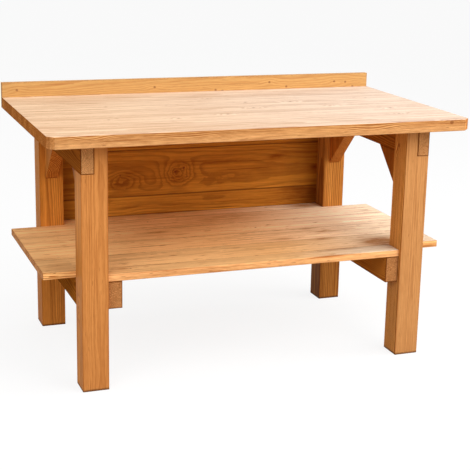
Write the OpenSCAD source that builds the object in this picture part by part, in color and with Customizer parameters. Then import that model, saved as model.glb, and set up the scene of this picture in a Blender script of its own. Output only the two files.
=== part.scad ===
// Free-standing wooden workbench: glued worktop with a rear upstand, four square legs,
// half-lapped top bearers, corner braces, a low shelf that runs out past the legs, and
// a boarded back between the rear legs. Wood screws and dowels hold it together.
// Millimetres. X runs along the bench, Y from front to back, Z up from the floor.
// The origin is on the floor, under the middle of the bench.

/* [Overall] */
// Length of the worktop
bench_l = 1500; // [1300:10:2000]
// Depth from the front edge of the worktop to the back of the upstand
bench_d = 850; // [750:5:1000]
// Height of the working surface above the floor
work_h = 885; // [835:5:950]

/* [Worktop] */
// Thickness of the worktop
top_t = 40; // [36:1:60]
// Cut across each front corner of the worktop, measured along either edge
corner_cut = 24; // [5:1:40]
// Thickness of the upstand board
upstand_t = 20; // [16:1:28]
// Height of the upstand above the working surface
upstand_rise = 55; // [30:1:120]

/* [Frame] */
// Side of the square legs
leg_w = 90; // [80:1:110]
// Worktop overhang beyond the legs at each end
leg_in = 120; // [80:1:200]
// Distance of the front legs behind the front edge of the worktop
leg_back = 75; // [30:1:120]
// Width of the top bearers between the legs
bearer_w = 70; // [60:1:80]
// Thickness of the bearers' halved ends, which is also the depth of the laps in the legs
lap_t = 45; // [35:1:50]
// Height of the top bearers
bearer_h = 100; // [90:1:130]
// Thickness of the corner braces
brace_t = 45; // [38:1:60]
// Height of a corner brace along its leg
brace_h = 160; // [100:1:180]
// Reach of a corner brace along its bearer
brace_d = 160; // [95:1:175]

/* [Shelf] */
// Height of the shelf surface above the floor
shelf_h = 400; // [300:1:440]
// Thickness of the shelf boards
shelf_t = 24; // [18:1:30]
// Reach of the long shelf boards beyond the outer faces of the legs
shelf_over = 110; // [40:1:115]
// Distance of the shelf's front edge and the shelf bearers' ends behind the leg faces
shelf_back = 13; // [5:1:25]
// Width of the shelf bearers on the inner side of the legs
rail_w = 50; // [45:1:70]
// Height of the shelf bearers and of the side stretchers
rail_h = 95; // [85:1:120]
// Thickness of the side stretchers between the legs
stretcher_t = 45; // [35:1:60]

/* [Back panel] */
// Thickness of the back boards
panel_t = 18; // [15:1:22]
// Height of each full back board
panel_board_h = 184; // [150:1:200]
// Width of the rebate in each rear leg that takes the ends of the back boards
rebate_w = 20; // [16:1:30]

/* [Fixings] */
// Diameter of the dowels
dowel_d = 10; // [8:1:12]
// Length of the dowels
dowel_l = 50; // [40:1:60]
// Length of the screws that go up through the top bearers into the worktop
top_screw_l = 75; // [65:1:78]
// Length of the screws through the upstand into the worktop
upstand_screw_l = 60; // [45:1:70]
// Length of the screws through the shelf boards into the shelf bearers
shelf_screw_l = 50; // [40:1:60]
// Length of the screws through the back boards into the rear legs
panel_screw_l = 40; // [35:1:50]
// Number of screws along the upstand
upstand_screws_n = 7; // [3:1:12]

/* [Edges] */
// Cut along every edge of the legs, the bearers and the worktop
arris = 2; // [1:0.5:4]
// Cut along every edge of the shelf boards and the back boards
board_arris = 1; // [0.5:0.5:2]

/* [Hidden] */
$fn = 48;
front_y = -bench_d / 2;
back_y = bench_d / 2;
half_l = bench_l / 2;
under_z = work_h - top_t;
top_back_y = back_y - upstand_t;

// The left half of the frame is drawn, with X below zero, and mirrored for the right.
leg_out_x = -(half_l - leg_in);
leg_mid_x = leg_out_x + leg_w / 2;
leg_inn_x = leg_out_x + leg_w;
front_leg_y = front_y + leg_back;
rear_leg_y = back_y - leg_w;
bay_front_y = front_leg_y + leg_w;

bearer_z = under_z - bearer_h;
brace_x = leg_mid_x - brace_t / 2;
shelf_under_z = shelf_h - shelf_t;
rail_z = shelf_under_z - rail_h;
rail_mid_z = rail_z + rail_h / 2;
shelf_front_y = front_leg_y + shelf_back;
// Long shelf boards between the front and rear legs, each its own node
long_boards = 4;
long_board_w = (rear_leg_y - bay_front_y) / long_boards;
long_board_l = 2 * (shelf_over - leg_out_x);
short_board_l = -2 * leg_inn_x;

panel_y = back_y - panel_t;
panel_l = short_board_l + 2 * rebate_w;
low_board_h = under_z - shelf_h - 2 * panel_board_h;
panel_base_z = [shelf_h, shelf_h + low_board_h, under_z - panel_board_h];

// Play round a dowel or a screw in its hole, and beyond its end
hole_gap = 0.1;
end_gap = 1;
// Overshoot of the cutting solids
cut = 1;
// Sideways spread of a pair of dowels or screws from the middle of its joint
pair = 20;
screw_shank_d = 5;
screw_head_d = 10;
screw_head_h = 3;
screw_tip_h = 5;
// Depth of a screw head below the surface of the wood
sink = 0.4;
// Wood left between the head of a worktop screw and the top of its bearer
top_screw_wood = 46;
top_screw_pitch = 120;
// Width of the counterbore below a worktop screw beyond its head
counterbore_play = 4;
// Distance of a full back board's screws from its long edges
board_screw_edge = 38;
bearer_mid_x = leg_out_x + bearer_w / 2;
lap_x = leg_out_x + lap_t;
rail_mid_x = leg_inn_x + rail_w / 2;
stretcher_mid_x = leg_out_x + stretcher_t / 2;
// Depth below the bearer of the two dowels from a brace to its leg
brace_dowel_low = 62;
brace_dowel_high = 30;
// Distance from the leg of the dowel from a brace up to its bearer
brace_dowel_out = 60;

// Rectangle from the origin with its four corners cut off
module cut_rectangle(w, h, e) {
    polygon([[e, 0], [w - e, 0], [w, e], [w, h - e], [w - e, h], [e, h], [0, h - e], [0, e]]);
}

// Bar from the origin with every edge cut by e
module eased_bar(size, e) {
    intersection() {
        linear_extrude(size.z) cut_rectangle(size.x, size.y, e);
        rotate([90, 0, 90]) linear_extrude(size.x) cut_rectangle(size.y, size.z, e);
        translate([0, size.y, 0])
            rotate([90, 0, 0]) linear_extrude(size.y) cut_rectangle(size.x, size.z, e);
    }
}

// Draws a left-hand piece as it is, or mirrored to the right-hand end
module at_end(right) {
    if (right)
        mirror([1, 0, 0]) children();
    else
        children();
}

module at_both_ends() {
    at_end(false) children();
    at_end(true) children();
}

// Countersunk wood screw along +Z, with its head at the origin
module screw_body(l, gap, end) {
    r = screw_shank_d / 2 + gap;
    head_r = screw_head_d / 2 + gap;
    rotate_extrude()
        polygon([
            [0, 0], [head_r, 0], [r, screw_head_h], [r, l - screw_tip_h + end], [0, l + end]
        ]);
}

module screw(l) {
    screw_body(l, 0, 0);
}

// Hole for a screw, open above its head
module screw_hole(l) {
    screw_body(l, hole_gap, end_gap);
    translate([0, 0, -sink - cut]) cylinder(h = sink + cut, d = screw_head_d + 2 * hole_gap);
}

// Dowel along Z, centred on the joint between its two pieces
module dowel() {
    cylinder(h = dowel_l, d = dowel_d, center = true);
}

module dowel_hole() {
    cylinder(h = dowel_l + 2 * end_gap, d = dowel_d + 2 * hole_gap, center = true);
}

// The places of the fixings, each shared by the fixing and its holes

module bearer_lap_dowel_places() {
    for (leg_y = [front_leg_y, rear_leg_y], s = [-1, 1])
        translate([lap_x, leg_y + leg_w / 2 + s * pair, bearer_z + bearer_h / 2 + s * pair])
            rotate([0, 90, 0]) children();
}

module brace_to_leg_dowel_places() {
    for (face_y = [bay_front_y, rear_leg_y], down = [brace_dowel_low, brace_dowel_high])
        translate([leg_mid_x, face_y, bearer_z - down]) rotate([90, 0, 0]) children();
}

module brace_to_bearer_dowel_places() {
    for (y = [bay_front_y + brace_dowel_out, rear_leg_y - brace_dowel_out])
        translate([leg_mid_x, y, bearer_z]) children();
}

module shelf_bearer_dowel_places() {
    for (leg_y = [front_leg_y, rear_leg_y], s = [-1, 1])
        translate([leg_inn_x, leg_y + leg_w / 2 + s * pair, rail_mid_z + s * pair])
            rotate([0, 90, 0]) children();
}

module stretcher_dowel_places() {
    for (face_y = [bay_front_y, rear_leg_y], s = [-1, 1])
        translate([stretcher_mid_x, face_y, rail_mid_z + s * pair])
            rotate([90, 0, 0]) children();
}

module worktop_screw_places() {
    bay_mid_y = (bay_front_y + rear_leg_y) / 2;
    for (i = [-1 : 1])
        translate([bearer_mid_x, bay_mid_y + i * top_screw_pitch, under_z - top_screw_wood])
            children();
}

module upstand_screw_places() {
    pitch = bench_l / upstand_screws_n;
    for (i = [0 : upstand_screws_n - 1])
        translate([-half_l + (i + 0.5) * pitch, back_y - sink, under_z + top_t / 2])
            rotate([90, 0, 0]) children();
}

module shelf_screw_places() {
    long_y = [for (i = [0 : long_boards - 1]) bay_front_y + (i + 0.5) * long_board_w];
    for (y = concat([(shelf_front_y + bay_front_y) / 2, rear_leg_y + leg_w / 2], long_y))
        translate([rail_mid_x, y, shelf_h - sink]) rotate([180, 0, 0]) children();
}

module back_board_screw_places() {
    low_mid_z = shelf_h + low_board_h / 2;
    rise = [board_screw_edge, panel_board_h - board_screw_edge];
    full_z = [for (i = [1, 2], up = rise) panel_base_z[i] + up];
    for (z = concat([low_mid_z], full_z))
        translate([leg_inn_x - rebate_w / 2, back_y - sink, z]) rotate([90, 0, 0]) children();
}

// The pieces

module worktop() {
    depth = top_back_y - front_y;
    color("burlywood")
        difference() {
            intersection() {
                translate([-half_l, front_y, under_z]) eased_bar([bench_l, depth, top_t], arris);
                translate([0, 0, under_z])
                    linear_extrude(top_t)
                        polygon([
                            [-half_l, top_back_y], [-half_l, front_y + corner_cut],
                            [-half_l + corner_cut, front_y], [half_l - corner_cut, front_y],
                            [half_l, front_y + corner_cut], [half_l, top_back_y]
                        ]);
            }
            at_both_ends() worktop_screw_places() screw_hole(top_screw_l);
            upstand_screw_places() screw_hole(upstand_screw_l);
        }
}

module upstand_board() {
    color("sandybrown")
        difference() {
            translate([-half_l, top_back_y, under_z])
                eased_bar([bench_l, upstand_t, top_t + upstand_rise], arris);
            upstand_screw_places() screw_hole(upstand_screw_l);
        }
}

// Leg with the lap for its bearer; a rear leg also has the rebate for the back boards
module leg(y, rear, right) {
    color("peru")
        at_end(right)
            difference() {
                translate([leg_out_x, y, 0]) eased_bar([leg_w, leg_w, under_z], arris);
                translate([leg_out_x - cut, y - cut, bearer_z])
                    cube([lap_t + cut, leg_w + 2 * cut, bearer_h + cut]);
                if (rear)
                    translate([leg_inn_x - rebate_w, panel_y, shelf_h])
                        cube([rebate_w + cut, panel_t + cut, under_z - shelf_h + cut]);
                if (rear)
                    back_board_screw_places() screw_hole(panel_screw_l);
                bearer_lap_dowel_places() dowel_hole();
                brace_to_leg_dowel_places() dowel_hole();
                shelf_bearer_dowel_places() dowel_hole();
                stretcher_dowel_places() dowel_hole();
            }
}

module left_front_leg() { leg(front_leg_y, false, false); }
module right_front_leg() { leg(front_leg_y, false, true); }
module left_rear_leg() { leg(rear_leg_y, true, false); }
module right_rear_leg() { leg(rear_leg_y, true, true); }

// Bearer with its ends halved into the laps of the legs
module top_bearer(right) {
    counterbore = bearer_h - top_screw_wood;
    color("chocolate")
        at_end(right)
            difference() {
                translate([leg_out_x, front_leg_y, bearer_z])
                    eased_bar([bearer_w, back_y - front_leg_y, bearer_h], arris);
                for (y = [front_leg_y - cut, rear_leg_y])
                    translate([lap_x, y, bearer_z - cut])
                        cube([bearer_w, leg_w + cut, bearer_h + 2 * cut]);
                worktop_screw_places() {
                    screw_hole(top_screw_l);
                    translate([0, 0, -counterbore - cut])
                        cylinder(h = counterbore + cut, d = screw_head_d + counterbore_play);
                }
                bearer_lap_dowel_places() dowel_hole();
                brace_to_bearer_dowel_places() dowel_hole();
            }
}

module left_top_bearer() { top_bearer(false); }
module right_top_bearer() { top_bearer(true); }

// Solid triangular brace in the corner between a leg and its bearer
module brace(face_y, inward, right) {
    color("chocolate")
        at_end(right)
            difference() {
                translate([brace_x, face_y, bearer_z])
                    rotate([90, 0, 90])
                        linear_extrude(brace_t)
                            polygon([[0, 0], [inward * brace_d, 0], [0, -brace_h]]);
                brace_to_leg_dowel_places() dowel_hole();
                brace_to_bearer_dowel_places() dowel_hole();
            }
}

module left_front_brace() { brace(bay_front_y, 1, false); }
module right_front_brace() { brace(bay_front_y, 1, true); }
module left_rear_brace() { brace(rear_leg_y, -1, false); }
module right_rear_brace() { brace(rear_leg_y, -1, true); }

module shelf_bearer(right) {
    bearer_l = back_y - front_leg_y - 2 * shelf_back;
    color("saddlebrown")
        at_end(right)
            difference() {
                translate([leg_inn_x, shelf_front_y, rail_z])
                    eased_bar([rail_w, bearer_l, rail_h], arris);
                shelf_bearer_dowel_places() dowel_hole();
                shelf_screw_places() screw_hole(shelf_screw_l);
            }
}

module left_shelf_bearer() { shelf_bearer(false); }
module right_shelf_bearer() { shelf_bearer(true); }

module side_stretcher(right) {
    color("saddlebrown")
        at_end(right)
            difference() {
                translate([leg_out_x, bay_front_y, rail_z])
                    eased_bar([stretcher_t, rear_leg_y - bay_front_y, rail_h], arris);
                stretcher_dowel_places() dowel_hole();
            }
}

module left_side_stretcher() { side_stretcher(false); }
module right_side_stretcher() { side_stretcher(true); }

// Shelf board centred on X, between two places along Y
module shelf_board(l, y_from, y_to) {
    color("tan")
        difference() {
            translate([-l / 2, y_from, shelf_under_z])
                eased_bar([l, y_to - y_from, shelf_t], board_arris);
            at_both_ends() shelf_screw_places() screw_hole(shelf_screw_l);
        }
}

module long_board(i) {
    y = bay_front_y + (i - 1) * long_board_w;
    shelf_board(long_board_l, y, y + long_board_w);
}

module shelf_front_board() { shelf_board(short_board_l, shelf_front_y, bay_front_y); }
module shelf_rear_board() { shelf_board(short_board_l, rear_leg_y, back_y); }
module shelf_long_board_1() { long_board(1); }
module shelf_long_board_2() { long_board(2); }
module shelf_long_board_3() { long_board(3); }
module shelf_long_board_4() { long_board(4); }

module back_board(z, h) {
    color("sienna")
        difference() {
            translate([-panel_l / 2, panel_y, z]) eased_bar([panel_l, panel_t, h], board_arris);
            at_both_ends() back_board_screw_places() screw_hole(panel_screw_l);
        }
}

module back_lower_board() { back_board(panel_base_z[0], low_board_h); }
module back_middle_board() { back_board(panel_base_z[1], panel_board_h); }
module back_upper_board() { back_board(panel_base_z[2], panel_board_h); }

module worktop_screws() {
    color("dimgray") at_both_ends() worktop_screw_places() screw(top_screw_l);
}

module upstand_screws() {
    color("dimgray") upstand_screw_places() screw(upstand_screw_l);
}

module shelf_screws() {
    color("dimgray") at_both_ends() shelf_screw_places() screw(shelf_screw_l);
}

module back_board_screws() {
    color("dimgray") at_both_ends() back_board_screw_places() screw(panel_screw_l);
}

module bearer_lap_dowels() {
    color("wheat") at_both_ends() bearer_lap_dowel_places() dowel();
}

module brace_dowels() {
    color("wheat")
        at_both_ends() {
            brace_to_leg_dowel_places() dowel();
            brace_to_bearer_dowel_places() dowel();
        }
}

module shelf_bearer_dowels() {
    color("wheat") at_both_ends() shelf_bearer_dowel_places() dowel();
}

module stretcher_dowels() {
    color("wheat") at_both_ends() stretcher_dowel_places() dowel();
}

worktop();
upstand_board();
left_front_leg();
right_front_leg();
left_rear_leg();
right_rear_leg();
left_top_bearer();
right_top_bearer();
left_front_brace();
right_front_brace();
left_rear_brace();
right_rear_brace();
left_shelf_bearer();
right_shelf_bearer();
left_side_stretcher();
right_side_stretcher();
shelf_front_board();
shelf_rear_board();
shelf_long_board_1();
shelf_long_board_2();
shelf_long_board_3();
shelf_long_board_4();
back_lower_board();
back_middle_board();
back_upper_board();
worktop_screws();
upstand_screws();
shelf_screws();
back_board_screws();
bearer_lap_dowels();
brace_dowels();
shelf_bearer_dowels();
stretcher_dowels();
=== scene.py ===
import math
import random

import bmesh
import bpy
from mathutils import Matrix, Vector


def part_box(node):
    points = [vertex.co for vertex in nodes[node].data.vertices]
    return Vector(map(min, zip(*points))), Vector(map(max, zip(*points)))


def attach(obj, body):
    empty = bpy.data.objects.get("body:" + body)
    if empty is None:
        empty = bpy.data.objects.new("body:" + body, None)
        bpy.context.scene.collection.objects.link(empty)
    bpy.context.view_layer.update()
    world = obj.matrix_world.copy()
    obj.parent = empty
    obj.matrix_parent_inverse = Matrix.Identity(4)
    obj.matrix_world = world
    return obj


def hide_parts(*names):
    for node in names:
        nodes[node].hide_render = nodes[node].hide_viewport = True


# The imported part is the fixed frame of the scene. All lengths are in metres
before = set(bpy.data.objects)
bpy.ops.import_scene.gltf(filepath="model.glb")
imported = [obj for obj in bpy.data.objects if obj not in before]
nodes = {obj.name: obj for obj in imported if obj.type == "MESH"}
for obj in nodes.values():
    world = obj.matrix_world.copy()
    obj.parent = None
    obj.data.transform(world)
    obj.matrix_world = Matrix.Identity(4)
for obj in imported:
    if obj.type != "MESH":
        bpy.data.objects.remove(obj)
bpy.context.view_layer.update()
scene = bpy.context.scene
MM = 0.001
AXES = {"x": 0, "y": 1, "z": 2}


# Colours

def srgb(r, g, b):
    """A display colour, 0 to 255, as the linear colour that a shader takes."""
    def linear(c):
        c = c / 255
        return c / 12.92 if c <= 0.04045 else ((c + 0.055) / 1.055) ** 2.4
    return (linear(r), linear(g), linear(b), 1.0)


def shade(r, g, b):
    """A factor on each linear colour channel."""
    return (r, g, b, 1.0)


KNOT, SEAM = srgb(120, 58, 24), srgb(88, 44, 16)
PITCH, EDGE_TINT, FOOT_TINT = srgb(190, 152, 116), srgb(200, 170, 140), srgb(84, 52, 30)
# Rails, shelf bearers and stretchers are darker than the legs as painted shade under the worktop and the shelf
RAIL = {"light": srgb(172, 102, 38), "dark": srgb(122, 62, 18)}
SHELF_BEARER = {"light": srgb(186, 114, 44), "dark": srgb(132, 70, 22)}
STRETCHER = {"light": srgb(168, 101, 34), "dark": srgb(122, 66, 18)}
REAR_BRACE = {"light": srgb(214, 136, 60), "dark": srgb(152, 82, 26)}


# Shader wiring

class Wire:
    """Short calls that add nodes to a tree and give back the last one's output."""

    def __init__(self, tree):
        self.tree = tree

    def new(self, kind):
        return self.tree.nodes.new(kind)

    def put(self, socket, value):
        """Links an output to the socket, or sets the socket to a number or colour."""
        if isinstance(value, bpy.types.NodeSocket):
            self.tree.links.new(value, socket)
        elif value is not None:
            socket.default_value = value

    def math(self, op, a, b=None, c=None, clamp=False):
        n = self.new("ShaderNodeMath")
        n.operation = op
        n.use_clamp = clamp
        for i, v in enumerate((a, b, c)):
            self.put(n.inputs[i], v)
        return n.outputs[0]

    def add(self, *values):
        total = values[0]
        for v in values[1:]:
            total = self.math("ADD", total, v)
        return total

    def sub(self, a, b):
        return self.math("SUBTRACT", a, b)

    def mul(self, a, b):
        return self.math("MULTIPLY", a, b)

    def scaled(self, a, factor, offset):
        """a times factor, plus offset."""
        return self.math("MULTIPLY_ADD", a, factor, offset)

    def abs(self, a):
        return self.math("ABSOLUTE", a)

    def max(self, a, b):
        return self.math("MAXIMUM", a, b)

    def min(self, a, b):
        return self.math("MINIMUM", a, b)

    def vector(self, op, a, b=None, scale=None):
        n = self.new("ShaderNodeVectorMath")
        n.operation = op
        self.put(n.inputs[0], a)
        self.put(n.inputs[1], b)
        if scale is not None:
            self.put(n.inputs["Scale"], scale)
        return n.outputs[0]

    def join(self, x, y, z):
        n = self.new("ShaderNodeCombineXYZ")
        for i, v in enumerate((x, y, z)):
            self.put(n.inputs[i], v)
        return n.outputs[0]

    def split(self, v):
        n = self.new("ShaderNodeSeparateXYZ")
        self.put(n.inputs[0], v)
        return list(n.outputs)

    def noise(self, v, scale=1.0, detail=2.0, rough=0.5, colour=False):
        """Noise round 0.5 at v, or three of them as a colour."""
        n = self.new("ShaderNodeTexNoise")
        self.put(n.inputs["Vector"], v)
        n.inputs["Scale"].default_value = scale
        n.inputs["Detail"].default_value = detail
        n.inputs["Roughness"].default_value = rough
        return n.outputs["Color"] if colour else n.outputs["Factor" if "Factor" in n.outputs else "Fac"]

    def cell(self, v):
        """A random value for each whole number."""
        n = self.new("ShaderNodeTexWhiteNoise")
        n.noise_dimensions = "1D"
        self.put(n.inputs["W"], v)
        return n.outputs["Value"]

    def step(self, v, a, b, out_a=0.0, out_b=1.0):
        """Goes smoothly from out_a at a to out_b at b."""
        n = self.new("ShaderNodeMapRange")
        n.interpolation_type = "SMOOTHSTEP"
        for i, value in enumerate((v, a, b, out_a, out_b)):
            self.put(n.inputs[i], value)
        return n.outputs[0]

    def mix(self, factor, a, b, blend="MIX"):
        n = self.new("ShaderNodeMix")
        n.data_type = "RGBA"
        n.blend_type = blend
        self.put(n.inputs[0], factor)
        self.put(n.inputs[6], a)
        self.put(n.inputs[7], b)
        return n.outputs[2]

    def tint(self, colour, by):
        return self.mix(1.0, colour, by, "MULTIPLY")

    def blend(self, factor, a, b):
        """Mixes two shaders."""
        n = self.new("ShaderNodeMixShader")
        for i, v in enumerate((factor, a, b)):
            self.put(n.inputs[i], v)
        return n.outputs[0]


def new_material(name):
    material = bpy.data.materials.new(name)
    material.use_nodes = True
    material.node_tree.nodes.clear()
    w = Wire(material.node_tree)
    out = w.new("ShaderNodeOutputMaterial")
    shader = w.new("ShaderNodeBsdfPrincipled")
    w.put(out.inputs[0], shader.outputs[0])
    return material, w, shader


# Pine

class Look:
    """What sets one piece of pine apart. Places are from the piece's middle."""

    light = dark = None        # colours of the early and the late wood, which every piece gives
    pith = (0.0, 0.0)          # its place across and through the thickness
    ring = 4.2 * MM            # width of a year ring
    late_wood = (0.25, 0.86)   # where in the ring it starts and is full
    slope = 0.004              # how fast the rings run out along the grain
    wander = 0.012             # how far the pith strays
    wobble = 3.5 * MM          # how uneven the rings are
    contrast = 0.9             # strength of the rings
    streak = 0.6               # strength of the streaks
    staves = None              # (width, first edge) of the strips that a glued board is made of
    knots = ()                 # (along, across, radius, pull on the rings), on the wide faces
    round_knots = False        # the rings bend round the knots in rounds, not in long eyes
    side_knots = ()            # (along, through, radius, pull), on the long narrow faces
    whorls = ()                # (along, across, length, width, pull) of bends with no knot in them
    swells = ()                # (along, through, length, width, pull) of the same, on the long narrow faces
    stains_and_shade = ()                # (along, across, length, width, strength) of brown marks, which are real stains or painted shade
    dashes = None              # (strength, noise level that they start at) of short dark strokes
    pitch_lines = 0.45         # strength of long dark strokes
    flecks = 0.4               # strength of small dark spots
    seam = 0.0                 # darkness of the joint with the next board
    pale_top = None            # painted sheen: a shade on the faces that look up
    fade = None                # painted light: shades at the two ends
    painted_fade_from = -1.0           # where the painted light starts to change, with -1 at the lower end
    painted_edge_light = None           # painted light: shades of the long narrow faces at their lower and upper side
    painted_end_shadow = None            # (length, shade) of the painted shadow at the ends of a board that lies in a corner
    end_shade = shade(0.85, 0.82, 0.8)         # of end grain
    end_line = 0.0             # darkness of the joint round a face of end grain
    dirt = 0.5                 # strength of the darkening along the edges
    dark_foot = False       # darker at the floor
    gloss = 0.3

    def __init__(self, **values):
        for name, value in values.items():
            if not hasattr(Look, name):
                raise ValueError(f"a look has no {name}")
            setattr(self, name, value)


# Noise in the wood: changes in a metre along and across the grain, detail, roughness
NOISES = {
    "drift": (0.9, 2.2, 2.0, 0.5),
    "ripple": (7.0, 24.0, 2.0, 0.6),
    "crinkle": (38.0, 60.0, 2.0, 0.6),
    "long_streak": (1.3, 36.0, 3.0, 0.6),
    "fine_streak": (2.6, 130.0, 3.0, 0.65),
    "fibre": (11.0, 480.0, 2.0, 0.6),
    "blotch": (2.0, 7.0, 2.0, 0.5),
    "grit": (26.0, 230.0, 2.0, 0.6),
    "pitch": (3.0, 95.0, 1.0, 0.5),
    "dash": (15.0, 75.0, 2.0, 0.5),
    "smear": (16.0, 150.0, 3.0, 0.6),
    "fleck": (26.0, 240.0, 1.0, 0.5),
}
SPECK_RATE = 300.0                     # changes in a metre of end grain
UNEVEN_RATE, UNEVEN = 55.0, 1.6        # the same from ring to ring, and by how many rings it moves them

# Levels of a noise between which its marks come up
PITCH_LEVEL, SMEAR_LEVEL, FLECK_LEVEL, BREAK_LEVEL = (0.62, 0.76), (0.34, 0.56), (0.70, 0.78), (0.3, 0.6)
DASH_RISE = 0.09

# Strength of the marks in clean wood. The first three go with the look's streak
LONG_STREAK, FINE_STREAK, BLOTCH = 0.34, 0.5, 0.24
FIBRE, GRIT, STAVE_TONE = 0.2, 0.34, 0.14
MARK_CHANNELS = (0.9, 1.25, 1.5)       # how much they show in red, green and blue
SHEEN_RINGS, EDGE_MARKS = 0.55, 1.4     # how much weaker rings are on a top with a painted sheen, and stronger marks are off it
WHORL_RINGS = 13.0                     # how much stronger rings are in a whorl

# Faces that look one way, by the part of their normal that does, from no effect to full
TOP_FACE, END_FACE, SIDE_FACE = (0.8, 0.97), (0.5, 0.9), (0.5, 0.8)

# Knots
KNOT_REACH = 2.6                       # how many radii away a knot bends the rings
LONG_EYE, ROUND_EYE, CORE_EYE = 0.16, 0.6, 0.7      # the less, the longer along the grain
CORE_FULL = 0.55                       # the part of a knot's radius that is fully dark
SKIN = 30 * MM                         # how deep the bends of a narrow face reach
SIDE_CORE = (0.75, 0.9)                # where across half a board a side knot's core starts and is full

# Staves
STAVE_SPREAD = 90 * MM                 # how much their piths differ
STAVE_DEPTH = 30 * MM                  # how far under the middle the highest pith lies
STAVE_SHIFT = 9.0                      # how far apart along the noise they lie, in metres
GLUE_LINE = (1.2 * MM, 0.4 * MM)       # half of its width, from none to full
GLUE_DARKNESS = 0.5

# Lines along edges: how far from the edge they are full and gone
JOINT_LINE = (0.8 * MM, 2.8 * MM)
END_LINE = (1.2 * MM, 3.8 * MM)
EDGE_BAND = (0.5 * MM, 4.5 * MM)

FOOT_TINT_HEIGHT, FOOT_TINT_RAGGED, FOOT_TINT_STRENGTH = 8 * MM, 6 * MM, 0.75
ROUGHNESS, BUMP_STRENGTH, BUMP_DEPTH = 0.47, 0.55, 0.6 * MM


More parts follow.
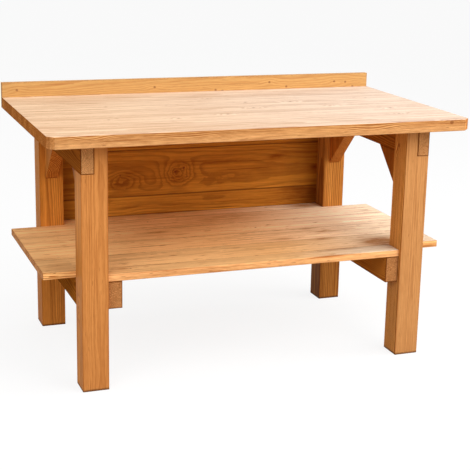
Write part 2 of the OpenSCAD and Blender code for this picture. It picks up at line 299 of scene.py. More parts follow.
class Pine:
    """Solid pine from low to high: rings round a pith that runs along the grain, bent round the knots.

    grain and flat are the axes of the piece's length and thickness."""

    def __init__(self, name, low, high, grain, flat, seed, look):
        self.material, w, self.shader = new_material(name)
        self.w, self.look, self.seed = w, look, seed
        self.half = (high - low) / 2
        self.g, self.f = AXES[grain], AXES[flat]
        self.a = 3 - self.g - self.f
        coord = w.new("ShaderNodeTexCoord").outputs["Object"]
        self.local = w.vector("SUBTRACT", coord, tuple((low + high) / 2))
        self.xyz = w.split(self.local)
        self.along, self.across, self.thick = self.xyz[self.g], self.xyz[self.a], self.xyz[self.f]
        self.normal = w.split(w.new("ShaderNodeNewGeometry").outputs["Normal"])
        self.top = w.step(w.abs(self.normal[2]), *TOP_FACE)
        self.end = w.step(w.abs(self.normal[self.g]), *END_FACE)
        self.set_staves()
        self.set_rings()
        colour = self.clean_wood()
        for change in (self.painted_light, self.marked, self.jointed, self.edged):
            colour = change(colour)
        w.put(self.shader.inputs["Base Color"], colour)
        self.set_surface()

    def noise(self, name, colour=False):
        along_rate, across_rate, detail, rough = NOISES[name]
        rates = (along_rate, across_rate, across_rate)
        return self.w.noise(self.w.vector("MULTIPLY", self.moved, rates), 1.0, detail, rough, colour)

    def hump(self, sideways, place_along, place_side, length, width, height):
        """height at a place, gone by about twice the length and width from it."""
        w = self.w
        u = w.math("DIVIDE", w.sub(self.along, place_along), length)
        v = w.math("DIVIDE", w.sub(sideways, place_side), width)
        far = w.add(w.mul(u, u), w.mul(v, v))
        return w.mul(w.math("EXPONENT", w.mul(far, -1.0)), height)

    def set_staves(self):
        """A glued board changes its pith and tone from stave to stave."""
        w, rnd = self.w, random.Random(self.seed)
        self.pith, self.glue = self.look.pith, 0.0
        if self.look.staves:
            width, first = self.look.staves
            place = w.math("DIVIDE", w.sub(self.across, first), width)
            stave = w.math("FLOOR", place)
            self.tone = w.cell(w.add(stave, self.seed * 7.31))
            other = w.cell(w.add(stave, self.seed * 3.17 + 40))
            middle = w.mul(w.add(stave, 0.5), width)
            off = w.scaled(self.tone, STAVE_SPREAD, first - STAVE_SPREAD / 2)
            self.pith = (w.add(middle, off), w.scaled(other, -STAVE_SPREAD, -STAVE_DEPTH))
            shift = w.scaled(other, STAVE_SHIFT, rnd.uniform(0, 5))
            from_middle = w.abs(w.sub(w.math("FRACT", place), 0.5))
            self.glue = w.step(from_middle, *[0.5 - reach / width for reach in GLUE_LINE])
        else:
            shift = rnd.uniform(0, 40)
        self.moved = w.join(w.add(self.along, shift), self.across, self.thick)

    def set_rings(self):
        """Rings round a wandering pith, which run out in flames on the flat faces and bend round the knots."""
        w, look = self.w, self.look
        drift = w.vector("SUBTRACT", self.noise("drift", colour=True), (0.5, 0.5, 0.5))
        drift = w.split(w.vector("SCALE", drift, scale=look.wander * 2))
        self.ripple = self.noise("ripple")
        from_pith_a = w.add(w.sub(self.across, self.pith[0]), drift[1])
        from_pith_f = w.add(w.sub(self.thick, self.pith[1]), drift[2])
        radius = w.math("SQRT", w.add(w.mul(from_pith_a, from_pith_a), w.mul(from_pith_f, from_pith_f)))
        parts = [radius, w.mul(self.along, look.slope), w.mul(self.ripple, look.wobble), drift[0]]

        # Knots bend the rings and have a dark core
        half = self.half[self.a]
        skin = w.step(w.abs(self.across), half - SKIN, half)
        cores = []
        for knot in look.knots:
            bend, core = self.knot(self.across, *knot)
            parts.append(bend)
            cores.append(core)
        for knot in look.side_knots:
            bend, core = self.knot(self.thick, *knot)
            parts.append(w.mul(bend, skin))
            cores.append(w.mul(core, w.step(w.abs(self.across), *[half * part for part in SIDE_CORE])))
        self.core = cores[0] if cores else 0.0
        for core in cores[1:]:
            self.core = w.max(self.core, core)

        if look.whorls:
            self.bends = w.add(*[self.hump(self.across, *whorl) for whorl in look.whorls])
            parts.append(w.mul(self.bends, w.scaled(self.noise("crinkle"), 0.5, 0.75)))
        parts += [w.mul(self.hump(self.thick, *swell), skin) for swell in look.swells]

        # How far through its ring a place lies, and how much late wood it has
        field = w.add(*parts)
        uneven = w.noise(w.join(w.mul(field, UNEVEN_RATE), self.seed * 1.7, 0.0), detail=1.0)
        self.phase = w.math("FRACT", w.add(w.math("DIVIDE", field, look.ring), w.mul(uneven, UNEVEN)))
        start, full = look.late_wood
        self.late = w.mul(w.step(self.phase, start, full), w.step(self.phase, 0.5 + full / 2, 1.0, 1.0, 0.0))

    def knot(self, sideways, place_along, place_side, radius, pull):
        """The bend that a knot puts into the rings, and its dark core."""
        w = self.w
        u, v = w.sub(self.along, place_along), w.sub(sideways, place_side)
        uu, vv = w.mul(u, u), w.mul(v, v)
        wide = w.add(w.mul(uu, ROUND_EYE if self.look.round_knots else LONG_EYE), vv)
        halo = w.math("EXPONENT", w.mul(wide, -1 / (KNOT_REACH * radius) ** 2))
        near = w.math("SQRT", w.add(w.mul(uu, CORE_EYE), vv))
        return w.mul(halo, pull), w.step(near, radius * CORE_FULL, radius, 1.0, 0.0)

    def clean_wood(self):
        """Rings, then streaks, fibres, grit, blotches and the tones of the staves."""
        w, look = self.w, self.look
        self.long_streak, self.fine_streak = self.noise("long_streak"), self.noise("fine_streak")
        self.fibre = self.noise("fibre")
        strength = w.scaled(self.fine_streak, look.contrast, look.contrast * 0.4)
        amount = w.math("MULTIPLY", self.late, strength, clamp=True)
        if look.whorls:
            amount = w.math("MULTIPLY", amount, w.scaled(self.bends, WHORL_RINGS, 1.0), clamp=True)
        # A painted sheen: on the faces that look up the rings are weaker, and off them the marks are stronger
        if look.pale_top:
            amount = w.mul(amount, w.scaled(self.top, -SHEEN_RINGS, 1.0))
        colour = w.mix(amount, look.light, look.dark)
        marks = [(self.long_streak, LONG_STREAK * look.streak), (self.fine_streak, FINE_STREAK * look.streak),
                 (self.fibre, FIBRE), (self.noise("grit"), GRIT), (self.noise("blotch"), BLOTCH * look.streak)]
        if look.staves:
            marks.append((self.tone, STAVE_TONE))
        value = w.add(*[w.scaled(source, size, -0.5 * size) for source, size in marks])
        if look.pale_top:
            value = w.mul(value, w.scaled(self.top, -EDGE_MARKS, 1.0 + EDGE_MARKS))
        return w.tint(colour, w.join(*[w.scaled(value, part, 1.0) for part in MARK_CHANNELS]))

    def painted_light(self, colour):
        """Painted light and shade: a top paler than its edges, light that changes from end to end and across
        the narrow faces, and shadow at the ends of a board in a corner.
        """
        w, look = self.w, self.look
        half_g, half_f = self.half[self.g], self.half[self.f]
        if look.pale_top:
            colour = w.mix(self.top, colour, w.tint(colour, look.pale_top))
        if look.fade:
            painted_light = w.tint(colour, w.mix(w.step(self.along, half_g * look.painted_fade_from, half_g), *look.fade))
            colour = w.mix(self.top, colour, painted_light) if look.pale_top else painted_light
        if look.painted_edge_light:
            painted_light = w.tint(colour, w.mix(w.step(self.thick, -half_f, half_f), *look.painted_edge_light))
            colour = w.mix(w.step(w.abs(self.normal[self.a]), *SIDE_FACE), colour, painted_light)
        if look.painted_end_shadow:
            length, end_shadow = look.painted_end_shadow
            far_in = w.step(w.sub(half_g, w.abs(self.along)), 0.0, length)
            colour = w.mix(far_in, w.tint(colour, end_shadow), colour)
        return colour

    def marked(self, colour):
        """Pitch lines, dashes, stains and painted shade, and flecks."""
        w, look = self.w, self.look
        pitch = w.step(self.noise("pitch"), *PITCH_LEVEL, 0.0, look.pitch_lines)
        if look.dashes:
            strength, start = look.dashes
            pitch = w.max(pitch, w.step(self.noise("dash"), start, start + DASH_RISE, 0.0, strength))
        if look.stains_and_shade:
            stain_and_shade = w.add(*[self.hump(self.across, *darkening) for darkening in look.stains_and_shade])
            pitch = w.max(pitch, w.mul(stain_and_shade, w.step(self.noise("smear"), *SMEAR_LEVEL, 0.3, 1.0)))
        colour = w.mix(pitch, colour, w.tint(colour, PITCH))
        return w.mix(w.step(self.noise("fleck"), *FLECK_LEVEL, 0.0, look.flecks), colour, KNOT)

    def jointed(self, colour):
        """Seams between boards, end grain, knots and glue lines."""
        w, look = self.w, self.look
        if look.seam:
            wide = w.step(w.abs(self.normal[self.f]), *SIDE_FACE, 0.0, look.seam)
            close = w.step(w.sub(self.half[self.a], w.abs(self.across)), *JOINT_LINE, 1.0, 0.0)
            broken = w.step(self.long_streak, *BREAK_LEVEL, 0.45, 1.0)
            colour = w.mix(w.mul(w.mul(close, wide), broken), colour, SEAM)
        speck = w.noise(w.vector("MULTIPLY", self.local, (SPECK_RATE, SPECK_RATE, SPECK_RATE)), detail=1.0)
        end_grain = w.vector("MULTIPLY", colour, look.end_shade[:3])
        colour = w.mix(self.end, colour, w.vector("SCALE", end_grain, scale=w.scaled(speck, 1.0, 0.5)))
        if look.knots or look.side_knots:
            colour = w.mix(w.mul(self.core, w.step(self.phase, 0.4, 0.9, 0.55, 0.95)), colour, KNOT)
        if look.staves:
            colour = w.mix(w.mul(self.glue, GLUE_DARKNESS), colour, KNOT)
        return colour

    def edged(self, colour):
        """Darker edges, and a foot that is darker at the floor."""
        w, look = self.w, self.look
        gaps = [w.sub(self.half[i], w.abs(self.xyz[i])) for i in range(3)]
        pairs = [w.max(gaps[i], gaps[j]) for i, j in ((0, 1), (1, 2), (0, 2))]
        near_edge = w.min(w.min(pairs[0], pairs[1]), pairs[2])
        if look.end_line:
            colour = w.mix(w.mul(self.end, w.step(near_edge, *END_LINE, look.end_line, 0.0)), colour, SEAM)
        patchy = w.scaled(self.ripple, look.dirt, look.dirt * 0.3)
        self.edge_band = w.mul(w.step(near_edge, *EDGE_BAND, 1.0, 0.0), patchy)
        colour = w.mix(self.edge_band, colour, w.tint(colour, EDGE_TINT))
        if look.dark_foot:
            height = w.add(w.add(self.xyz[2], self.half[2]), w.mul(self.fine_streak, -FOOT_TINT_RAGGED))
            darkening = w.step(height, 0.0, FOOT_TINT_HEIGHT, FOOT_TINT_STRENGTH, 0.0)
            colour = w.mix(darkening, colour, FOOT_TINT)
        return colour

    def set_surface(self):
        """Roughness, gloss and relief."""
        w, shader = self.w, self.shader
        rough = w.add(w.mul(self.fibre, 0.18), w.mul(self.late, -0.06), w.mul(self.edge_band, 0.1))
        w.put(shader.inputs["Roughness"], w.add(rough, ROUGHNESS))
        shader.inputs["Specular IOR Level"].default_value = self.look.gloss
        bump = w.new("ShaderNodeBump")
        bump.inputs["Strength"].default_value = BUMP_STRENGTH
        bump.inputs["Distance"].default_value = BUMP_DEPTH
        reliefs = [(self.late, 0.35), (self.fibre, 0.8), (self.fine_streak, 0.8), (self.glue, -0.6),
                   (self.core, 0.3)]
        w.put(bump.inputs["Height"], w.add(*[w.mul(source, size) for source, size in reliefs]))
        w.put(shader.inputs["Normal"], bump.outputs[0])


def pine(name, low, high, grain, flat, seed, **look):
    return Pine(name, low, high, grain, flat, seed, Look(**look)).material


# Meshes

def to_mesh(bm):
    mesh = bpy.data.meshes.new("shape")
    bm.to_mesh(mesh)
    bm.free()
    return mesh


def prism(points, axis, start, end):
    """A closed outline of (u, v) points, in the order of the two other axes, drawn out along axis."""
    bm = bmesh.new()
    n = AXES[axis]
    others = [i for i in range(3) if i != n]

    def place(p, level):
        q = [0.0, 0.0, 0.0]
        q[n] = level
        q[others[0]], q[others[1]] = p
        return bm.verts.new(q)
    lower = [place(p, start) for p in points]
    upper = [place(p, end) for p in points]
    bm.faces.new(lower)
    bm.faces.new(list(reversed(upper)))
    count = len(points)
    for i in range(count):
        j = (i + 1) % count
        bm.faces.new((lower[i], upper[i], upper[j], lower[j]))
    bmesh.ops.recalc_face_normals(bm, faces=bm.faces)
    return to_mesh(bm)


def block(low, high):
    outline = [(low[0], low[1]), (high[0], low[1]), (high[0], high[1]), (low[0], high[1])]
    return prism(outline, "z", low[2], high[2])


def carve(mesh, cutters):
    """The mesh with each cutter taken away."""
    body = bpy.data.objects.new("body", mesh)
    tools = [bpy.data.objects.new("tool", m) for m in cutters]
    for o in [body] + tools:
        scene.collection.objects.link(o)
    for tool in tools:
        cut = body.modifiers.new("cut", "BOOLEAN")
        cut.operation, cut.solver, cut.object = "DIFFERENCE", "EXACT", tool
    made = bpy.data.meshes.new_from_object(body.evaluated_get(bpy.context.evaluated_depsgraph_get()))
    for o in [body] + tools:
        bpy.data.objects.remove(o)
    return made


def ease(mesh, radius):
    """Rounds every outer edge, as a plane and years of use leave it."""
    bm = bmesh.new()
    bm.from_mesh(mesh)
    bmesh.ops.remove_doubles(bm, verts=bm.verts, dist=1e-6)
    bmesh.ops.dissolve_limit(bm, angle_limit=math.radians(1), verts=bm.verts, edges=bm.edges)
    sharp = math.radians(20)
    outer = [e for e in bm.edges if len(e.link_faces) == 2 and e.calc_face_angle_signed(0) > sharp]
    bmesh.ops.bevel(bm, geom=outer, offset=radius, segments=3, profile=0.5, affect="EDGES",
                    clamp_overlap=True)
    for face in bm.faces:
        face.smooth = True
    return to_mesh(bm)


def round_front(mesh, radius):
    """Rounds over the top front edge."""
    bm = bmesh.new()
    bm.from_mesh(mesh)
    edges = [e for e in bm.edges
             if any(f.normal.z > 0.9 for f in e.link_faces) and any(f.normal.y < -0.9 for f in e.link_faces)]
    bmesh.ops.bevel(bm, geom=edges, offset=radius, segments=6, profile=0.5, affect="EDGES")
    return to_mesh(bm)


def piece(name, mesh, material, slot, *stands_for, side_material=None):
    """side_material goes on the faces that look left or right."""
    mesh.materials.clear()
    mesh.materials.append(material)
    if side_material:
        mesh.materials.append(side_material)
        for face in mesh.polygons:
            if abs(face.normal.x) > 0.5:
                face.material_index = 1
    o = bpy.data.objects.new(name, mesh)
    scene.collection.objects.link(o)
    even = o.modifiers.new("even_normals", "WEIGHTED_NORMAL")
    even.keep_sharp = False
    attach(o, "root")
    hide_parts(*stands_for)
    return o


def corners(node):
    low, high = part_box(node)
    return Vector(low), Vector(high)


# Worktop and upstand

CHAMFER = 24 * MM
WORKTOP_LOOK = {
    "light": srgb(217, 161, 103), "dark": srgb(168, 100, 48), "ring": 3.6 * MM, "wander": 0.007,
    "wobble": 1.2 * MM, "contrast": 1.3, "staves": (47.5 * MM, -20 * MM),
    "dashes": (0.7, 0.68), "pitch_lines": 0.6, "flecks": 0.5,
    # The paler top, its fade along the length and the lighter lower side of its narrow faces are painted light
    "pale_top": shade(1.2, 1.72, 3.2), "end_shade": shade(0.87, 0.68, 0.46),
    "fade": (shade(1.0, 0.95, 0.87), shade(1.0, 1.06, 1.18)),
    "painted_edge_light": (shade(1.13, 1.2, 1.3), shade(0.93, 0.9, 0.84)),
    "side_knots": [(0.671, 0.012, 0.008, 0.012)],
    "swells": [(0.36, -0.004, 0.12, 0.018, 0.014), (-0.3, -0.004, 0.12, 0.02, 0.012),
               (-0.62, 0.006, 0.07, 0.016, 0.012)],
}
# Small knots that the photo shows: along and back
WORKTOP_KNOTS = [(-0.487, -0.145), (-0.249, -0.165), (-0.01, 0.231), (0.101, 0.116), (-0.054, -0.121),
                 (0.084, -0.011), (-0.43, 0.121), (0.274, 0.097), (0.4, -0.022), (0.582, -0.121),
                 (0.552, -0.246), (0.6, 0.122)]
# The same: along and up
UPSTAND_KNOTS = [(-0.694, 0.018), (-0.162, 0.014), (0.088, -0.004), (0.117, -0.008), (0.316, 0.02),
                 (0.39, 0.001), (0.602, 0.016), (0.652, 0.013), (0.685, -0.006)]
# Their radius and pull
WORKTOP_KNOT, UPSTAND_KNOT = (5.5 * MM, 8 * MM), (5.2 * MM, 4 * MM)


def make_worktop():
    low, high = corners("worktop")
    outline = [(low.x + CHAMFER, low.y), (high.x - CHAMFER, low.y), (high.x, low.y + CHAMFER),
               (high.x, high.y), (low.x, high.y), (low.x, low.y + CHAMFER)]
    mesh = ease(prism(outline, "z", low.z, high.z), radius=2.0 * MM)
    look = dict(WORKTOP_LOOK, knots=[place + WORKTOP_KNOT for place in WORKTOP_KNOTS])
    wood = pine("worktop_wood", low, high, grain="x", flat="z", seed=11, gloss=0.03, **look)
    end_wood = pine("worktop_end_wood", low, high, grain="x", flat="z", seed=11, gloss=0.0, **look)
    piece("worktop_board", mesh, wood, "worktop_pine", "worktop", side_material=end_wood)


def make_upstand():
    low, high = corners("upstand_board")
    wood = pine("upstand_wood", low, high, grain="x", flat="y", seed=5,
                light=srgb(208, 159, 94), dark=srgb(174, 108, 50), pith=(0.05, 0.09), ring=3.4 * MM,
                wander=0.014, contrast=0.42, knots=[place + UPSTAND_KNOT for place in UPSTAND_KNOTS])
    mesh = ease(block(low, high), radius=1.8 * MM)
    piece("upstand_wood_board", mesh, wood, "upstand_pine", "upstand_board")


# Legs, with the lap for the bearer and, at the rear, the rebate for the back boards

LAP = 45 * MM
SLACK = 20 * MM      # how far a cutter stands out of the piece that it cuts
LEG_LOOK = {"ring": 4 * MM, "slope": 0.005, "wander": 0.01, "contrast": 0.38, "streak": 0.95,
            "gloss": 0.04, "dark_foot": True}
# Each leg's seed, its own look, and the colours of its sides that look left and right, which are lit and
# shaded copies of its wood as painted light
LEGS = {
    "left_front_leg": (21, {
        "light": srgb(208, 137, 73), "dark": srgb(162, 89, 37), "pith": (0.012, 0.02),
        "knots": [(-0.14, 0.01, 0.006, 0.01)],
    }, {"light": srgb(217, 142, 68), "dark": srgb(171, 94, 35), "contrast": 0.6, "streak": 1.3}),
    "right_front_leg": (22, {
        "light": srgb(207, 146, 88), "dark": srgb(160, 96, 47), "pith": (-0.06, 0.01),
        "knots": [(0.354, 0.012, 0.008, 0.015)],
    }, {"light": srgb(226, 158, 83), "dark": srgb(154, 88, 31), "contrast": 1.6, "streak": 2.4}),
    # The rear legs' fade from foot to top is painted light and shade
    "left_rear_leg": (23, {
        "light": srgb(217, 140, 56), "dark": srgb(140, 74, 20), "pith": (0.05, -0.03), "ring": 3.6 * MM,
        "contrast": 0.5, "streak": 2.0, "fade": (shade(1.0, 0.94, 1.1), shade(1.0, 1.0, 1.0)),
    }, {}),
    "right_rear_leg": (24, {
        "light": srgb(213, 144, 67), "dark": srgb(138, 77, 27), "pith": (-0.02, 0.05), "ring": 7 * MM,
        "contrast": 0.75, "streak": 2.2, "fade": (shade(0.84, 0.78, 0.8), shade(1.05, 1.06, 1.08)),
    }, {"light": srgb(184, 124, 58), "dark": srgb(120, 67, 24)}),
}


def make_leg(node):
    seed, own, sides = LEGS[node]
    side, place, _ = node.split("_")
    low, high = corners(node)
    right = side == "right"
    bearer_low = corners(f"{side}_top_bearer")[0]
    lap_low = Vector((high.x - LAP if right else low.x - SLACK, low.y - SLACK, bearer_low.z))
    lap_high = Vector((high.x + SLACK if right else low.x + LAP, high.y + SLACK, high.z + SLACK))
    cutters = [block(lap_low, lap_high)]
    if place == "rear":
        board_low, board_high = corners("back_middle_board")
        lowest = corners("back_lower_board")[0].z
        rebate_low = Vector((low.x - SLACK if right else board_low.x, board_low.y, lowest))
        rebate_high = Vector((board_high.x if right else high.x + SLACK, high.y + SLACK, high.z + SLACK))
        cutters.append(block(rebate_low, rebate_high))
    mesh = ease(carve(block(low, high), cutters), radius=2.0 * MM)
    look = {**LEG_LOOK, **own}
    wood = pine(f"{node}_wood", low, high, grain="z", flat="x", seed=seed, **look)
    relit_side_wood = None
    # Lit and shaded copies of the leg's wood, as painted light, go on the faces that look left and right
    if sides:
        relit_side_wood = pine(f"{node}_relit_side_wood", low, high, grain="z", flat="x", seed=seed, **{**look, **sides})
    piece(f"{node}_post", mesh, wood, "frame_pine", node, side_material=relit_side_wood)


# Bearers, braces and stretchers of the frame

def make_bar(node, seed, pith, colours, end_shade, radius=1.5 * MM, halved=False):
    """halved: the bar's ends are only as thick as the laps in the legs are deep."""
    low, high = corners(node)
    mesh = block(low, high)
    if halved:
        left = low.x < 0
        front_leg_high = corners(node.replace("top_bearer", "front_leg"))[1]
        rear_leg_low = corners(node.replace("top_bearer", "rear_leg"))[0]
        cut_low, cut_high = (low.x + LAP, high.x + SLACK) if left else (low.x - SLACK, high.x - LAP)
        ends = ((low.y - SLACK, front_leg_high.y), (rear_leg_low.y, high.y + SLACK))
        mesh = carve(mesh, [block((cut_low, y_low, low.z - SLACK), (cut_high, y_high, high.z + SLACK))
                            for y_low, y_high in ends])
        # The darker edges are those of the thin ends, which show in the laps
        low, high = low.copy(), high.copy()
        if left:
            high.x = low.x + LAP
        else:
            low.x = high.x - LAP
    wood = pine(f"{node}_wood", low, high, grain="y", flat="x", seed=seed, pith=pith, ring=4.4 * MM,
                slope=0.008, streak=1.2, gloss=0.0, end_shade=end_shade, end_line=0.75, dirt=1.4, **colours)
    piece(f"{node}_bar", ease(mesh, radius), wood, "frame_pine", node)


def make_brace(side, place, seed):
    node = f"{side}_{place}_brace"
    low, high = corners(node)
    at_leg, far = (low.y, high.y) if place == "front" else (high.y, low.y)
    outline = [(at_leg, low.z), (at_leg, high.z), (far, high.z)]
    mesh = ease(prism(outline, "x", low.x, high.x), radius=1.0 * MM)
    colours = RAIL if place == "front" else REAR_BRACE
    wood = pine(f"{node}_wood", low, high, grain="z", flat="x", seed=seed, pith=(0.07, -0.06), ring=5.2 * MM,
                slope=0.01, contrast=1.2, streak=2.0, gloss=0.03, dirt=1.4, **colours)
    piece(f"{node}_block", mesh, wood, "frame_pine", node)


# Shelf and back boards

SHELF_LOOK = {
    "light": srgb(236, 172, 112), "dark": srgb(190, 116, 60), "slope": 0.01, "wander": 0.016, "streak": 1.3,
    "seam": 0.4, "dashes": (0.8, 0.63), "pitch_lines": 0.8, "flecks": 0.7, "gloss": 0.01,
    # The fade along the top is painted light, stronger towards the right end
    "fade": (shade(1.03, 1.0, 1.05), shade(1.06, 1.42, 2.55)), "painted_fade_from": -0.15,
}
SHELF_TOP_SHEEN = (1.24, 1.54, 1.6)
# The boards from front to rear, the painted sheen and shade on each top, and what else is different
SHELF_BOARDS = [
    ("shelf_front_board", 0.71, {"contrast": 0.45, "painted_fade_from": 0.1}),
    # Board 1's front face, which shows at the wings, is painted lighter where the leg shades it
    ("shelf_long_board_1", 0.82, {"painted_fade_from": 0.1, "painted_edge_light": (shade(1.35, 1.58, 1.6),) * 2}),
    ("shelf_long_board_2", 0.98, {}),
    ("shelf_long_board_3", 1.0, {}),
    ("shelf_long_board_4", 1.0, {}),
    ("shelf_rear_board", 0.95, {}),
]
# Small knots that the photo shows: along and back, radius
SHELF_KNOTS = [(0.152, 0.1, 0.004), (-0.448, -0.285, 0.004), (-0.222, 0.291, 0.004)]
SHELF_KNOT_PULL = 12 * MM
# Brown marks that the photo shows, the last a painted shade at the rear by the back boards: along and back,
# length, width, strength
SHELF_STAINS_AND_SHADE = [
    (-0.242, 0.136, 0.06, 0.015, 0.9), (-0.475, -0.281, 0.025, 0.01, 0.8), (0.47, 0.37, 0.08, 0.028, 1.0),
    (0.393, -0.022, 0.05, 0.016, 1.0), (0.339, 0.029, 0.04, 0.013, 0.8), (0.335, -0.119, 0.045, 0.015, 0.9),
    (0.195, -0.08, 0.045, 0.014, 0.8), (0.541, -0.215, 0.075, 0.045, 2.2), (0.345, -0.267, 0.07, 0.011, 0.8),
    (0.1, 0.28, 0.19, 0.09, 0.6), (-0.099, 0.178, 0.14, 0.04, 0.4), (-0.25, 0.41, 0.25, 0.05, 0.5),
]
BACK_LOOK = {
    "light": srgb(215, 142, 51), "dark": srgb(145, 74, 19), "late_wood": (0.35, 0.8), "wobble": 8 * MM,
    "wander": 0.02, "contrast": 0.42, "streak": 1.7, "pitch_lines": 0.7, "seam": 0.8, "gloss": 0.06,
    # Painted shadow at the ends of the boards, between the legs
    "painted_end_shadow": (0.21, shade(0.54, 0.5, 0.36)),
}


def make_board(node, mesh, flat, seed, slot, radius, look):
    low, high = corners(node)
    wood = pine(f"{node}_wood", low, high, grain="x", flat=flat, seed=seed, **look)
    piece(f"{node}_plank", ease(mesh, radius), wood, slot, node)


def make_shelf():
    rnd = random.Random(3)
    for i, (node, top_sheen, own) in enumerate(SHELF_BOARDS):
        low, high = corners(node)
        middle = (low.y + high.y) / 2
        look = {
            **SHELF_LOOK,
            "pith": (rnd.uniform(-0.03, 0.03), rnd.choice((-1, 1)) * rnd.uniform(0.05, 0.09)),
            "pale_top": shade(*[channel * top_sheen for channel in SHELF_TOP_SHEEN]),
            "knots": [(x, y - middle, radius, SHELF_KNOT_PULL) for x, y, radius in SHELF_KNOTS
                      if low.y < y < high.y],
            "stains_and_shade": [(x, y - middle, length, width, strength)
                       for x, y, length, width, strength in SHELF_STAINS_AND_SHADE
                       if low.y - 2 * width < y < high.y + 2 * width],
            **own,
        }
        mesh = block(low, high)
        if i == 0:
            mesh = round_front(mesh, radius=6 * MM)
        make_board(node, mesh, flat="z", seed=30 + i, slot="shelf_pine", radius=1.4 * MM, look=look)


def make_back():
    own_looks = {
        # This board's one dark mark is painted shadow, where it meets the shelf at the right
        "back_lower_board": {"pith": (0.02, 0.09), "ring": 5 * MM, "stains_and_shade": [(0.5, 0.0, 0.14, 0.08, 0.7)]},
        # The photo shows this board's two whorls, its knots and its stains
        "back_middle_board": {
            "pith": (-0.012, 0.12), "ring": 8.5 * MM, "round_knots": True,
            "knots": [(-0.076, -0.003, 0.006, 0.006), (-0.04, 0.012, 0.004, 0.006),
                      (-0.3, -0.006, 0.004, 0.006)],
            "whorls": [(-0.062, -0.008, 0.066, 0.048, 0.046), (-0.29, -0.03, 0.07, 0.034, 0.034),
                       (0.1, -0.03, 0.15, 0.03, 0.01)],
            "stains_and_shade": [(0.35, 0.036, 0.03, 0.01, 0.8), (0.38, 0.05, 0.03, 0.008, 0.7),
                       (0.53, -0.015, 0.02, 0.01, 0.9), (0.1, 0.03, 0.2, 0.012, 0.6),
                       (-0.07, -0.035, 0.03, 0.012, 0.6), (-0.07, 0.0, 0.018, 0.012, 0.7),
                       (-0.3, -0.04, 0.05, 0.014, 0.5), (-0.27, 0.0, 0.03, 0.01, 0.5)],
        },
        "back_upper_board": {"pith": (0.03, 0.08), "ring": 6 * MM},
    }
    for i, (node, own) in enumerate(own_looks.items()):
        mesh = block(*corners(node))
        look = {**BACK_LOOK, **own}
        make_board(node, mesh, flat="y", seed=51 + i, slot="back_pine", radius=1.0 * MM, look=look)


# Screws: each CAD solid gives its place and its way in

def solids_of(node):
    """[lowest corner, highest corner] of each separate solid of a node."""
    bm = bmesh.new()
    bm.from_mesh(nodes[node].data)
    bmesh.ops.remove_doubles(bm, verts=bm.verts, dist=1e-6)
    seen, found = set(), []
    for start in bm.verts:
        if start in seen:
            continue
        group, queue = [], [start]
        seen.add(start)
        while queue:
            v = queue.pop()
            group.append(v)
            for e in v.link_edges:
                o = e.other_vert(v)
                if o not in seen:
                    seen.add(o)
                    queue.append(o)
        found.append([Vector([pick(v.co[i] for v in group) for i in range(3)]) for pick in (min, max)])
    bm.free()
    return found


def steel(name):
    material, w, shader = new_material(name)
    grime = w.noise(w.new("ShaderNodeTexCoord").outputs["Object"], scale=900.0, detail=3.0)
    w.put(shader.inputs["Base Color"], w.mix(w.step(grime, 0.4, 0.7), srgb(176, 172, 160), srgb(96, 84, 68)))
    w.put(shader.inputs["Roughness"], w.step(grime, 0.2, 0.8, 0.28, 0.55))
    shader.inputs["Metallic"].default_value = 1.0
    return material


def screw_mesh(head, length):
    """A countersunk screw that points along -Z, with its head's flat face at Z 0 and a cross recess."""
    bm = bmesh.new()
    # Height and radius from the head's face to the tip
    rows = [(0.0, head * 0.94), (-0.3 * MM, head), (-head * 0.62, head * 0.5), (-length * 0.9, head * 0.46),
            (-length, head * 0.06)]
    sides = 20
    turns = [2 * math.pi * i / sides for i in range(sides)]
    rings = [[bm.verts.new((r * math.cos(turn), r * math.sin(turn), z)) for turn in turns] for z, r in rows]
    bm.faces.new(rings[0])
    bm.faces.new(list(reversed(rings[-1])))
    for upper, lower in zip(rings, rings[1:]):
        for i in range(sides):
            j = (i + 1) % sides
            bm.faces.new((upper[i], lower[i], lower[j], upper[j]))
    bmesh.ops.recalc_face_normals(bm, faces=bm.faces)
    arm, slot, depth, above = head * 0.55, head * 0.12, head * 0.5, 10 * MM
    return carve(to_mesh(bm), [block((-x, -y, -depth), (x, y, above)) for x, y in ((arm, slot), (slot, arm))])


def make_screws(node, inward):
    """inward: the way that the screws point. The heads lie at the other end of each solid."""
    way = Vector(inward)
    turn = Vector((0, 0, -1)).rotation_difference(way).to_matrix().to_4x4()
    n = max(range(3), key=lambda i: abs(way[i]))
    side = [i for i in range(3) if i != n][0]
    solids = solids_of(node)
    low, high = solids[0]
    template = screw_mesh((high[side] - low[side]) / 2, high[n] - low[n])
    rnd = random.Random(len(node))
    bm = bmesh.new()
    for low, high in solids:
        head = (low + high) / 2
        head[n] = low[n] if way[n] > 0 else high[n]
        part = template.copy()
        part.transform(Matrix.Translation(head) @ turn @ Matrix.Rotation(rnd.uniform(0, math.pi / 2), 4, "Z"))
        bm.from_mesh(part)
        bpy.data.meshes.remove(part)
    o = piece(f"{node}_steel", to_mesh(bm), steel(f"{node}_metal"), "screw_steel", node)
    o.modifiers.clear()


def finish_dowels():
    """The dowels stay the CAD's own, in beech."""
    material, w, shader = new_material("dowel_beech")
    coord = w.new("ShaderNodeTexCoord").outputs["Object"]
    fleck = w.noise(w.vector("MULTIPLY", coord, (400.0, 400.0, 400.0)), detail=3.0)
    w.put(shader.inputs["Base Color"], w.mix(w.step(fleck, 0.3, 0.7), srgb(222, 178, 128), srgb(190, 138, 88)))
    w.put(shader.inputs["Roughness"], w.step(fleck, 0.0, 1.0, 0.5, 0.7))
    for node in ("bearer_lap_dowels", "brace_dowels", "shelf_bearer_dowels", "stretcher_dowels"):
        mesh = nodes[node].data
        mesh.materials.clear()
        mesh.materials.append(material)


# Floor, light and camera

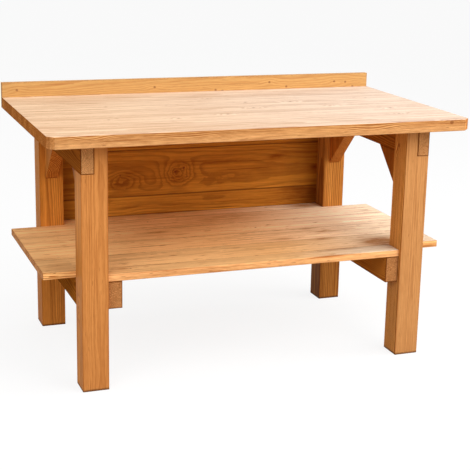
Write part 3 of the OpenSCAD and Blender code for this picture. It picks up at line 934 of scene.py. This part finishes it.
FLOOR_HALF, FLOOR_THICK = 30.0, 20 * MM
SHADOW = 0.14                            # how much of the floor's own shading the camera sees
WORLD_LEVEL, SUN_LEVEL = 0.34, 0.98
SUN_FROM, SUN_WIDTH = Vector((0.15, -0.1, 1.0)), 45
LAMP_DISTANCE, LAMP_AIM = 4.6, Vector((0, 0, 0.45))

# Fitted to the photo: the camera's place, its turns in radians, and its lens in pixels of the photo
CAMERA_PLACE = (-1.4578, -3.9755, 1.5640)
YAW, TILT, ROLL = 0.3691, -0.2533, 0.0242
FOCAL, CENTRE_X, CENTRE_Y, PHOTO_SIDE = 1181.5, 247.6, 219.8, 470
SENSOR = 36


def seen_directly(w):
    """1 where the camera, a reflection or glass looks at the surroundings, 0 where they light the object."""
    path = w.new("ShaderNodeLightPath").outputs
    return w.max(w.max(path["Is Camera Ray"], path["Is Glossy Ray"]), path["Is Transmission Ray"])


def make_floor():
    """White to the camera, with a faint shadow, and a plain grey floor to the light that it throws back."""
    mesh = block((-FLOOR_HALF, -FLOOR_HALF, -FLOOR_THICK), (FLOOR_HALF, FLOOR_HALF, 0.0))
    floor = bpy.data.objects.new("floor", mesh)
    scene.collection.objects.link(floor)
    material = bpy.data.materials.new("floor_white")
    material.use_nodes = True
    material.node_tree.nodes.clear()
    w = Wire(material.node_tree)
    grey, pale = w.new("ShaderNodeBsdfDiffuse"), w.new("ShaderNodeBsdfDiffuse")
    grey.inputs["Color"].default_value = shade(0.5, 0.46, 0.41)
    pale.inputs["Color"].default_value = shade(0.97, 0.97, 0.97)
    white = w.new("ShaderNodeEmission")
    seen = w.blend(SHADOW, white.outputs[0], pale.outputs[0])
    out = w.new("ShaderNodeOutputMaterial")
    w.put(out.inputs[0], w.blend(seen_directly(w), grey.outputs[0], seen))
    mesh.materials.append(material)


def softbox(name, azimuth, elevation, size, level):
    """A square lamp, azimuth degrees to the right of the front.

    level is what a white sheet that faces it shows."""
    lamp = bpy.data.lights.new(name, "AREA")
    lamp.shape, lamp.size = "SQUARE", size
    lamp.energy = level * (math.pi * LAMP_DISTANCE) ** 2
    o = bpy.data.objects.new(name, lamp)
    scene.collection.objects.link(o)
    a, e = math.radians(azimuth), math.radians(elevation)
    towards = Vector((math.sin(a) * math.cos(e), -math.cos(a) * math.cos(e), math.sin(e)))
    o.location = LAMP_AIM + towards * LAMP_DISTANCE
    o.rotation_euler = towards.to_track_quat("Z", "Y").to_euler()


def make_light():
    world = bpy.data.worlds.new("studio")
    scene.world = world
    world.use_nodes = True
    world.node_tree.nodes.clear()
    w = Wire(world.node_tree)
    soft, white = w.new("ShaderNodeBackground"), w.new("ShaderNodeBackground")
    soft.inputs["Color"].default_value = shade(1.0, 1.0, 1.0)
    soft.inputs["Strength"].default_value = WORLD_LEVEL
    white.inputs["Color"].default_value = shade(1.0, 1.0, 1.0)
    out = w.new("ShaderNodeOutputWorld")
    w.put(out.inputs[0], w.blend(seen_directly(w), soft.outputs[0], white.outputs[0]))

    overhead = bpy.data.lights.new("overhead", "SUN")
    overhead.energy = SUN_LEVEL
    overhead.angle = math.radians(SUN_WIDTH)
    top = bpy.data.objects.new("overhead", overhead)
    scene.collection.objects.link(top)
    top.rotation_euler = SUN_FROM.to_track_quat("Z", "Y").to_euler()
    softbox("key", azimuth=30, elevation=34, size=2.6, level=0.49)
    softbox("side", azimuth=72, elevation=28, size=2.0, level=0.46)
    softbox("fill", azimuth=-46, elevation=34, size=2.4, level=0.35)


def make_camera():
    ahead = Vector((math.sin(YAW) * math.cos(TILT), math.cos(YAW) * math.cos(TILT), math.sin(TILT)))
    level = Vector((math.cos(YAW), -math.sin(YAW), 0))
    rise = level.cross(ahead)
    right = math.cos(ROLL) * level + math.sin(ROLL) * rise
    up = -math.sin(ROLL) * level + math.cos(ROLL) * rise
    data = bpy.data.cameras.new("camera")
    data.sensor_width = SENSOR
    data.lens = SENSOR * FOCAL / PHOTO_SIDE
    data.shift_x = (PHOTO_SIDE / 2 - CENTRE_X) / PHOTO_SIDE
    data.shift_y = (CENTRE_Y - PHOTO_SIDE / 2) / PHOTO_SIDE
    camera = bpy.data.objects.new("camera", data)
    scene.collection.objects.link(camera)
    turn = Matrix((right, up, -ahead)).transposed().to_4x4()
    camera.matrix_world = Matrix.Translation(CAMERA_PLACE) @ turn
    scene.camera = camera


scene.view_settings.view_transform = "Standard"
make_camera()
make_worktop()
make_upstand()
for leg in LEGS:
    make_leg(leg)
for i, end_name in enumerate(("left", "right")):
    # The bars' end grain is lifted above their darker colours, out of their painted shade
    make_bar(f"{end_name}_top_bearer", seed=60 + i, pith=(0.01, 0.03), colours=RAIL,
             end_shade=shade(1.54, 2.28, 5.7), halved=True)
    make_bar(f"{end_name}_shelf_bearer", seed=62 + i, pith=(-0.05, 0.01), colours=SHELF_BEARER,
             end_shade=shade(1.05, 1.32, 3.0), radius=2.0 * MM)
    make_bar(f"{end_name}_side_stretcher", seed=64 + i, pith=(0.02, 0.05), colours=STRETCHER,
             end_shade=shade(1.25, 1.62, 3.6))
    make_brace(end_name, "front", seed=66 + i)
    make_brace(end_name, "rear", seed=68 + i)
make_shelf()
make_back()
make_screws("shelf_screws", (0, 0, -1))
make_screws("worktop_screws", (0, 0, 1))
make_screws("upstand_screws", (0, -1, 0))
make_screws("back_board_screws", (0, -1, 0))
finish_dowels()
make_floor()
make_light()
